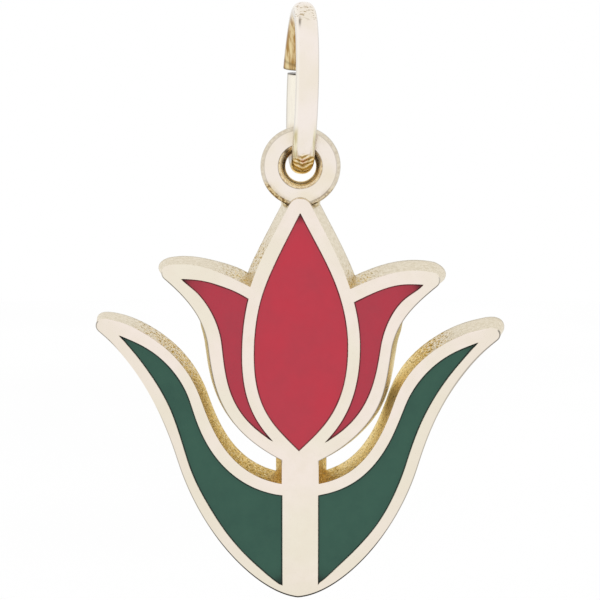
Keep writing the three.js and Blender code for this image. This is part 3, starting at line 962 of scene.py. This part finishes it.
def make_casting():
    """The plate in one piece, with its five cells and the seat for the eyelet cut into it."""
    body = plate("casting", LEAVES, seed=1)
    combine(body, plate("stem", STEM, seed=3), "UNION")
    combine(body, plate("sides", SIDES, seed=5), "UNION")
    combine(body, plate("centre", CENTRE, seed=7), "UNION")
    for name in CELLS:
        combine(body, cell_cutter(name), "DIFFERENCE")
    seat = disc(EYELET_RADIUS + FIT, -EYELET_THICKNESS / 2 - FIT, BACK_Y + THICKNESS)
    combine(body, seat, "DIFFERENCE")
    assign_by_normal(body, face_gold(), wall_gold(), back_gold())
    paint_casting(body)
    finish_mesh(body)
    return body


def inside_ring(points, ring):
    x, z = points[:, 0, None], points[:, 1, None]
    a, b = ring, np.roll(ring, -1, 0)
    straddle = (a[:, 1] > z) != (b[:, 1] > z)
    with np.errstate(divide="ignore", invalid="ignore"):
        where = a[:, 0] + (z - a[:, 1]) * (b[:, 0] - a[:, 0]) / (b[:, 1] - a[:, 1])
    return (straddle & (x < where)).sum(1) % 2 == 1


def sharp_corners(ring, least_turn=110):
    before, after = ring - np.roll(ring, 1, 0), np.roll(ring, -1, 0) - ring
    turn = np.degrees(np.arctan2(cross2(before, after), (before * after).sum(1)))
    return ring[np.abs(turn) > least_turn]


def resampled(ring, step):
    """A closed ring with points added so that none of its sides is longer than a step."""
    points = []
    for a, b in zip(ring, np.roll(ring, -1, 0)):
        count = max(1, int(np.ceil(norm(b - a) / step)))
        points += [a + (b - a) * k / count for k in range(count)]
    return np.array(points)


def filled(ring):
    """Points over the inside of a ring: the ring, collars along it and an even grid."""
    columns, rows = (np.arange(a, b, ENAMEL_GRID) for a, b in zip(ring.min(0), ring.max(0)))
    grid = np.array([[x, z] for x in columns for z in rows])
    grid = grid[inside_ring(grid, ring)]
    points = [ring]
    for distance in ENAMEL_COLLARS:
        collar = spread_ring(ring, -distance)
        collar = collar[inside_ring(collar, ring)]
        points.append(collar[distance_to_ring(collar, ring) > 0.9 * distance])
    points.append(grid[distance_to_ring(grid, ring) > GRID_MARGIN])
    return np.vstack(points)


def slab_faces(triangles, total):
    """Faces of a slab whose lower points follow the upper ones."""
    faces = [tuple(t) for t in triangles]
    faces += [tuple(i + total for i in reversed(t)) for t in triangles]
    edges = dict.fromkeys((a, b) for t in triangles for a, b in zip(t, list(t[1:]) + [t[0]]))
    for a, b in edges:
        if (b, a) not in edges:
            faces.append((b, a, a + total, b + total))
    return faces


def make_enamel(name, material, seed):
    """Enamel that lies a little below the metal, with a meniscus against the cell's wall."""
    cell = CELLS[name]
    ring = resampled(clean_ring(spread_ring(cell, -ENAMEL_GAP), 0.02), 0.1)
    loop = [(i, (i + 1) % len(ring)) for i in range(len(ring))]
    points = [Vector(p) for p in filled(ring)]
    flat, _, triangles, *_ = delaunay_2d_cdt(points, loop, [], 1, 1e-6)
    flat = np.array([[p.x, p.y] for p in flat])
    reach = distance_to_ring(flat, ring)
    top = upright(flat, FACE_Y)
    ripple = ENAMEL_RIPPLE * wobble(top, 1.4, seed) * np.clip(reach / 0.3, 0, 1)
    top[:, 1] += ENAMEL_RECESS - MENISCUS * np.exp(-reach / MENISCUS_WIDTH) + ripple
    bottom = upright(flat, FACE_Y + CELL_DEPTH - FIT)
    faces = slab_faces(triangles, len(flat))
    obj = mesh_object(f"enamel_{name}", np.vstack([top, bottom]), faces)
    outward(obj)

    # Painted shade: darker into the sharp corners and into a side petal's lower end
    corners = sharp_corners(cell)
    if name in ("left_petal", "right_petal"):
        corners = np.vstack([corners, cell[cell[:, 1].argmin()]])
    tip = np.min([norm(flat - c, axis=1) for c in corners], 0)
    paint(obj, "rim", np.tile(reach, 2))
    paint(obj, "tip", np.tile(tip, 2))
    obj.data.materials.append(material)
    finish_mesh(obj)
    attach(obj, "charm")
    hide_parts(f"enamel_{name}")
    return obj


def paint_eyelet(obj, bevel):
    """Beige bevel, golden throat, painted shade round its mouth, painted light deeper in the throat,
    and rough where the solder ran below.
    """
    co = coordinates(obj)
    x, z = co[:, 0], co[:, 2] - EYELET_Z
    radius = np.hypot(x, z)
    inward = MOUTH_RADIUS - radius
    paint(obj, "rim", smoothstep(radius, bevel - 0.005, bevel + 0.01))
    paint(obj, "throat", smoothstep(inward, 0.0, 0.01))
    # Painted light: the throat turns paler deeper in
    paint(obj, "depth", smoothstep(inward, 0.02, 0.1))

    # Painted shade round the mouth (more on the left), in the throat and at the outer edge (more
    # towards the bottom); dark at the bevel's seam
    mouth = ridge(inward, 0.002, 0.009) * (0.45 + 0.3 * (x < 0))
    throat_shade = spot(np.abs(x), z, 0.55, 0.6, 0.015) * (inward > 0)
    seam = 0.3 * ridge(radius, bevel, 0.012)
    outline = smoothstep(radius, EYELET_RADIUS - 0.02, EYELET_RADIUS - 0.004)
    outline *= 0.3 + 0.3 * smoothstep(-z, 0.4, 1.0)
    paint(obj, "dark", np.clip(mouth + 0.9 * throat_shade + seam + outline, 0, 1))
    low_left = smoothstep(-z, 0.5, 0.8) * smoothstep(-x, 0.3, 0.6)
    low_right = 0.5 * smoothstep(-z, 0.7, 1.0) * smoothstep(x, 0.3, 0.6)
    paint(obj, "worn", smoothstep(radius, bevel - 0.05, bevel) * (low_left + low_right))


def make_eyelet():
    """Turned ring with flat faces, a softly rounded rim and a hole that narrows to its throat."""
    half, edge, narrowing = EYELET_THICKNESS / 2, EYELET_BEVEL, MOUTH_RADIUS - THROAT_RADIUS
    bevel = EYELET_RADIUS - edge
    profile = []
    for end in (-1, 1):
        for step in range(BEVEL_STEPS + 1):
            angle = end * math.pi / 4 + math.pi / 4 * (2 * step / BEVEL_STEPS - 1)
            y = end * (half - edge) + edge * math.sin(angle)
            profile.append((bevel + edge * math.cos(angle), y))
    flat = [bevel - 0.03, 1.25, 1.1, 0.97, MOUTH_RADIUS + 0.035, MOUTH_RADIUS + 0.015]
    profile += [(radius, half) for radius in flat]
    for step in range(THROAT_STEPS + 1):
        angle = math.pi * step / THROAT_STEPS
        profile.append((MOUTH_RADIUS - narrowing * math.sin(angle), half * math.cos(angle)))
    profile += [(radius, -half) for radius in reversed(flat)]
    vertices = []
    for k in range(EYELET_STEPS):
        turn = 2 * math.pi * k / EYELET_STEPS
        for radius, y in profile:
            vertices.append((radius * math.sin(turn), y, EYELET_Z + radius * math.cos(turn)))

    # The last ring of faces closes on the first points
    total = len(vertices)
    faces = [tuple(v % total for v in f) for f in ring_faces(EYELET_STEPS + 1, len(profile))]
    obj = mesh_object("turned_eyelet", vertices, faces)
    outward(obj)
    paint_eyelet(obj, bevel)
    obj.data.materials.append(eyelet_gold())
    finish_mesh(obj)
    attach(obj, "charm")
    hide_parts("eyelet_ring")
    return obj


def make_solder(side, material):
    """Bead of solder that ran into the corner between the eyelet and the petal."""
    node = "solder_left" if side < 0 else "solder_right"
    wall = rounded(CENTRE, wall_spread(THICKNESS / 2, PETAL_DRAFT))
    wall = wall[wall[:, 1] > PETAL_BELLY[1]]
    gap = np.abs(norm(wall - [0, EYELET_HEIGHT], axis=1) - EYELET_RADIUS - FIT)
    corner = wall[gap.argmin()]
    centre = np.array([side * (abs(corner[0]) + SOLDER_REACH), 0.0, corner[1] + BLOOM_Z])
    rows, steps = 28, 44
    vertices, faces = [(0, -1, 0)], []
    for row in range(1, rows):
        angle = math.pi * row / rows
        radius, y = math.sin(angle), -math.cos(angle)
        for k in range(steps):
            turn = 2 * math.pi * k / steps
            vertices.append((radius * math.cos(turn), y, radius * math.sin(turn)))
    vertices.append((0, 1, 0))
    for k in range(steps):
        after = (k + 1) % steps
        faces.append((0, 1 + after, 1 + k))
        for row in range(rows - 2):
            a = 1 + row * steps
            faces.append((a + k, a + after, a + steps + after, a + steps + k))
        last = 1 + (rows - 2) * steps
        faces.append((last + k, last + after, len(vertices) - 1))
    unit = np.array(vertices, float)
    lump = 1 - SOLDER_LUMP + SOLDER_LUMP * wobble(unit, 0.55, 21 + side)
    depth = EYELET_THICKNESS / 2 - SOLDER_RADIUS * FIT
    points = unit * lump[:, None] * [SOLDER_RADIUS, depth, SOLDER_RADIUS] + centre
    obj = mesh_object(f"{node}_bead", points, faces)
    outward(obj)

    # The bead ends a hair inside the petal's wall and a hair off the eyelet
    depths = (0, 0.02, EDGE_ROUND, THICKNESS)
    petal = loft("petal", [upright(wall_ring(CENTRE, d, 0.006), FACE_Y + d) for d in depths])
    combine(obj, petal, "DIFFERENCE")
    combine(obj, disc(EYELET_RADIUS + 0.003, FACE_Y - 1, BACK_Y + 1), "DIFFERENCE")
    obj.data.materials.clear()
    obj.data.materials.append(material)
    finish_mesh(obj, angle=50)
    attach(obj, "charm")
    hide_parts(node)
    return obj


def turned(points, axis, degrees):
    """Points turned about an axis through the origin."""
    angle = math.radians(degrees)
    c, s = math.cos(angle), math.sin(angle)
    x, y, z = points.T
    if axis == "z":
        return np.stack([x * c - y * s, x * s + y * c, z], 1)
    return np.stack([x * c + z * s, y, -x * s + z * c], 1)


def paint_wire(obj, share, outward_facing, aside):
    """Marks on the wire, most of them painted highlight, reflection and shade; the share runs from
    the cut's lower end, down and forward, to its upper.
    """
    x, y, z = coordinates(obj).T
    aside = aside / (WIRE_WIDTH / 2)
    away = np.abs(aside)
    outer = smoothstep(outward_facing, -0.1, 0.2)
    inner = smoothstep(-outward_facing, -0.15, 0.35)
    # Painted highlight on the back of the wire and on one flank
    highlit_back = 1 - smoothstep(share, 0.13, 0.2)
    highlit_flank = 0.5 * smoothstep(-aside, 0.7, 0.85) * (share > 0.35)
    low = 1 - smoothstep(z, -4.3, -3.8)
    bend = 1 - smoothstep(z + 0.2 * (aside - 0.1) ** 2, -5.05, -4.93)
    worn = 0.8 * smoothstep(share, 0.69, 0.73) * (1 - smoothstep(share, 0.84, 0.88))
    # Painted reflection: golden on the wire's inside
    paint(obj, "inside", inner * (1 - 0.85 * highlit_back))
    paint(obj, "bright", np.maximum(highlit_back, outer * highlit_flank))
    paint(obj, "band", outer * smoothstep(away, 0.6, 0.75) * low * (share > 0.2))
    # Painted reflection on the ripples of the lower bend
    paint(obj, "bend", bend * outer)
    paint(obj, "worn", worn * outer)

    # Painted shade: dark at the sawn ends, along the edges, under the lower bend, and a short
    # painted shadow line near the top in front
    ends = (1 - smoothstep(share, 0.0, 0.004)) + smoothstep(share, 0.994, 1.0)
    ends += 0.5 * inner * ridge(share - 0.008 * aside, 0.985, 0.004)
    edges = 0.4 * smoothstep(aside, 0.82, 0.95)
    edges += smoothstep(-aside, 0.9, 0.98) * (0.25 + 0.2 * highlit_back)
    edges += 0.5 * (1 - smoothstep(z, -5.3, -4.9)) * smoothstep(away, 0.84, 0.95)
    under_shade = outer * (1 - smoothstep(np.abs(share - 0.275), 0.02, 0.035))
    mark = outer * ridge(x, 0.01, 0.035) * ridge(z, 0.05, 0.16) * (y < 0)
    paint(obj, "dark", np.clip(0.8 * ends + edges + 0.8 * under_shade + 0.95 * mark, 0, 1))


def make_ring():
    """Flattened wire bent to an open oval, with its two sawn ends a little apart and aside."""
    depth, height = (RING_DEPTH - WIRE_THICKNESS) / 2, (RING_HEIGHT - WIRE_THICKNESS) / 2
    low = math.asin((CUT_HEIGHT - CUT_WIDTH / 2) / height)
    high = math.asin((CUT_HEIGHT + CUT_WIDTH / 2) / height) - 2 * math.pi
    angles = np.linspace(low, high, OVAL_STEPS)
    oval = np.stack([depth * np.cos(angles), height * np.sin(angles)], 1)
    length = np.concatenate([[0], np.cumsum(norm(np.diff(oval, axis=0), axis=1))])

    def centre_at(share):
        run = np.clip(share, 0, 1) * length[-1]
        return np.stack([np.interp(run, length, oval[:, i]) for i in (0, 1)], 1)

    # The last two rings at each sawn end draw in a little more
    ease = CUT_EASE / length[-1]
    shares = np.concatenate([[0, ease], np.linspace(0, 1, WIRE_STEPS)[1:-1], [1 - ease, 1]])
    draws = np.full(len(shares), WIRE_DRAW)
    draws[:2] = CUT_DRAWS
    draws[-2:] = CUT_DRAWS[::-1]

    # The wire's section: round on the ring's inside, flattened on its outside
    turn = 2 * math.pi * np.arange(WIRE_SIDES) / WIRE_SIDES
    cosine, sine = np.cos(turn), np.sin(turn)
    power = np.where(sine > 0, 2 / WIRE_FLATNESS, 1.0)
    aside = np.sign(cosine) * np.abs(cosine) ** power * WIRE_WIDTH / 2
    outwards = np.sign(sine) * np.abs(sine) ** power * WIRE_THICKNESS / 2

    step = 1e-3
    along = centre_at(shares + step) - centre_at(shares - step)
    along /= norm(along, axis=1, keepdims=True)
    rings = []
    for share, centre, go, draw in zip(shares, centre_at(shares), along, draws):
        x = aside * draw - CUT_OFFSET * share ** 4
        out = outwards * draw
        rings.append(np.stack([x, centre[0] - go[1] * out, centre[1] + go[0] * out], 1))
    points = turned(np.vstack(rings), "z", RING_TURN) + [0, 0, RING_HEIGHT / 2]
    points = turned(points, "y", RING_TILT) + [RING_SHIFT, 0, WIRE_THICKNESS - RING_HEIGHT]
    points[:, 0] -= RING_SWAY * smoothstep(points[:, 2], -5.5, -4.5)
    count = len(shares)
    obj = loft("oval_jump_ring", points.reshape(count, WIRE_SIDES, 3))
    paint_wire(obj, np.repeat(shares, WIRE_SIDES), np.tile(sine, count), np.tile(aside, count))
    obj.data.materials.append(wire_gold())
    finish_mesh(obj, angle=40)
    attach(obj, "jump_ring")
    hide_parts("jump_ring")
    return obj


casting = make_casting()
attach(casting, "charm")
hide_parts("tulip_body")

red = enamel("red_enamel", "BE3646", "B23A48", "2E1214", "C23A4A", 0.2, 0.036)
dark_red = enamel("red_enamel_side", "B23646", "A83A48", "2E1214", "B83A4A", 1.3, 0.04)
green = enamel("green_enamel", "34594B", "2F5246", "0E1713", "3B5F4F", 0.9, 0.056)
make_enamel("centre_petal", red, 31)
make_enamel("left_petal", dark_red, 32)
make_enamel("right_petal", dark_red, 33)
make_enamel("left_leaf", green, 34)
make_enamel("right_leaf", green, 35)
make_eyelet()
solder_material = solder_gold()
make_solder(-1, solder_material)
make_solder(1, solder_material)
make_ring()


# Studio

FLOOR_Z = -42.0
FLOOR_RADII = (300.0, 150.0, 60.0, 20.0)
FLOOR_STEPS = 96


def make_floor():
    """Pale round floor below the hanging charm."""
    angles = np.linspace(0, 2 * math.pi, FLOOR_STEPS, endpoint=False)
    cosine, sine, level = np.cos(angles), np.sin(angles), np.full(FLOOR_STEPS, FLOOR_Z)
    rings = [np.stack([radius * cosine, radius * sine, level], 1) for radius in FLOOR_RADII]
    faces = ring_faces(len(rings), FLOOR_STEPS)
    last = (len(rings) - 1) * FLOOR_STEPS
    faces.append(tuple(range(last, last + FLOOR_STEPS)))
    obj = mesh_object("studio_floor", np.vstack(rings), faces)
    m = Nodes("floor_white")
    cloud = m.ramp(m.noise(0.02, 2.0), 0.3, 0.7)
    m.set(Base_Color=m.mix(cloud, srgb("FFFFFF"), srgb("FEFEFE")), Roughness=0.9)
    m.set(Specular_IOR_Level=0.0)
    obj.data.materials.append(m.material)
    return obj


make_floor()

world = bpy.data.worlds.new("studio")
bpy.context.scene.world = world
world.use_nodes = True
background = world.node_tree.nodes["Background"]
background.inputs["Color"].default_value = (1, 1, 1, 1)
background.inputs["Strength"].default_value = 1.0

# Camera: the photograph's, slightly to the right of the charm and six degrees above it
AZIMUTH = 1.5
ELEVATION = 6.0
FOCAL_PIXELS = 1897.36
FRAME_PIXELS = 600
SENSOR = 36.0
EYE = (1.918606, -74.319401, -2.94072)

camera_data = bpy.data.cameras.new("camera")
camera_data.sensor_width = SENSOR
camera_data.lens = FOCAL_PIXELS / FRAME_PIXELS * SENSOR
camera_data.clip_start = 0.001
camera_data.clip_end = 10.0
camera = bpy.data.objects.new("camera", camera_data)
bpy.context.scene.collection.objects.link(camera)
camera.location = Vector(EYE) * MM
camera.rotation_euler = (math.radians(90 - ELEVATION), 0, math.radians(AZIMUTH))
bpy.context.scene.camera = camera

bpy.context.scene.view_settings.view_transform = "Standard"
